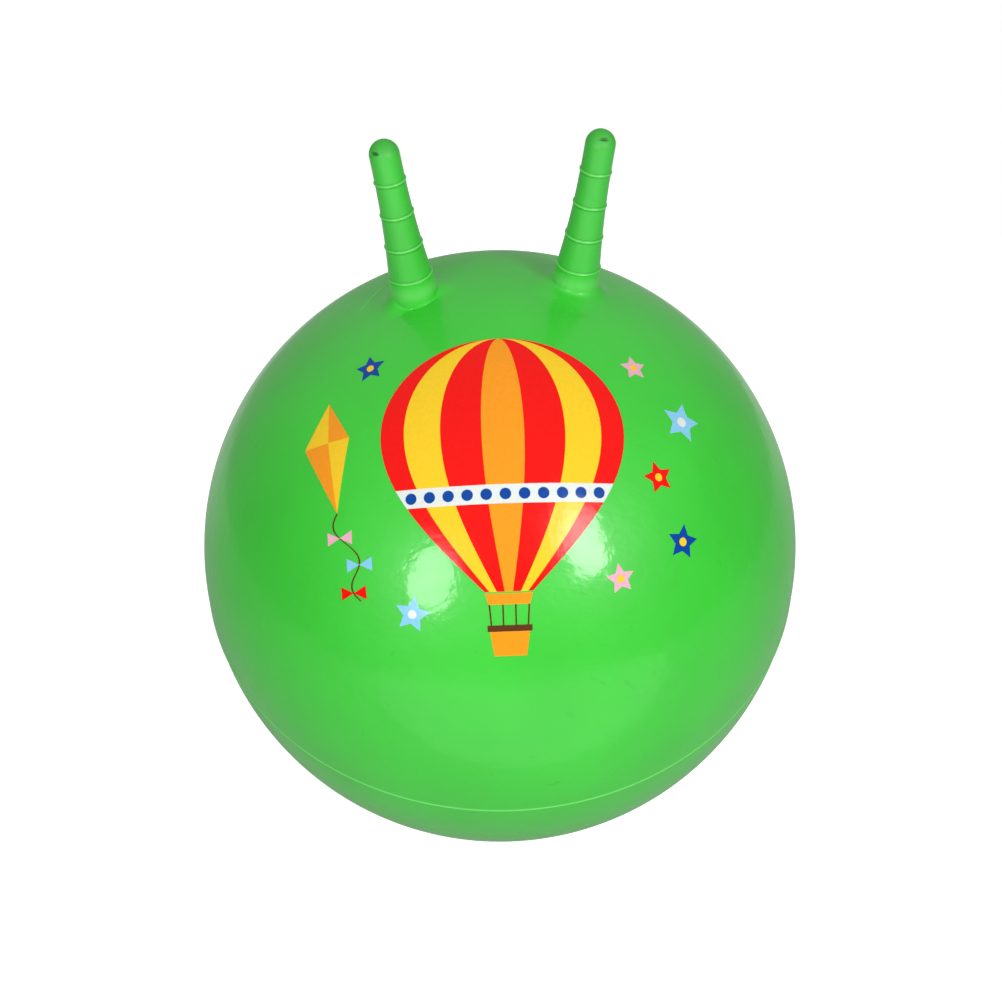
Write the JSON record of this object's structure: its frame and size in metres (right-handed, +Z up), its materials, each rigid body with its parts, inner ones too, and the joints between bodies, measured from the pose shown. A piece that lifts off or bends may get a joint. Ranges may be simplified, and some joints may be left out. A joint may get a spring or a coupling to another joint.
{
  "type": "hopper ball",
  "caption": "Round air-filled ball to sit and hop on, with ribbed grip horns on soft flexing necks, a fine mould line and a plugged air valve at the back.",
  "frame": {"origin": "middle of the flat patch on which the ball rests on the floor", "axes": "+Z up, midway between the horns; -Y the front, the printed side; +X to the right of someone who looks at the front"},
  "size_m": [0.4508, 0.4496, 0.5545],
  "materials": {
    "vinyl": "glossy soft green vinyl",
    "vinyl_neck": "glossy soft green vinyl",
    "vinyl_horn": "glossy soft green vinyl",
    "valve_seat": "satin pale soft plastic",
    "valve_plug": "satin white plastic"
  },
  "bodies": {
    "ball": {"ball_shell": "vinyl", "left_horn_neck": "vinyl_neck", "right_horn_neck": "vinyl_neck", "valve_seat": "valve_seat"},
    "left_horn": {"left_horn": "vinyl_horn"},
    "right_horn": {"right_horn": "vinyl_horn"},
    "plug": {"valve_plug": "valve_plug"}
  },
  "joints": [
    {"name": "left_horn_flex", "type": "hinge", "parent": "ball", "child": "left_horn", "pos_m": [-0.05671, -0.00146, 0.45809], "axis": [1, 0, 0], "range_deg": [-20, 20], "stiffness_Nm_per_rad": 1.2, "deforming": ["left_horn_neck"]},
    {"name": "right_horn_flex", "type": "hinge", "parent": "ball", "child": "right_horn", "pos_m": [0.05671, -0.00146, 0.45809], "axis": [1, 0, 0], "range_deg": [-20, 20], "stiffness_Nm_per_rad": 1.2, "deforming": ["right_horn_neck"]},
    {"name": "valve_plug_pull", "type": "slide", "parent": "ball", "child": "plug", "axis": [0, 0.9397, -0.342], "range_m": [0, 0.03]}
  ]
}
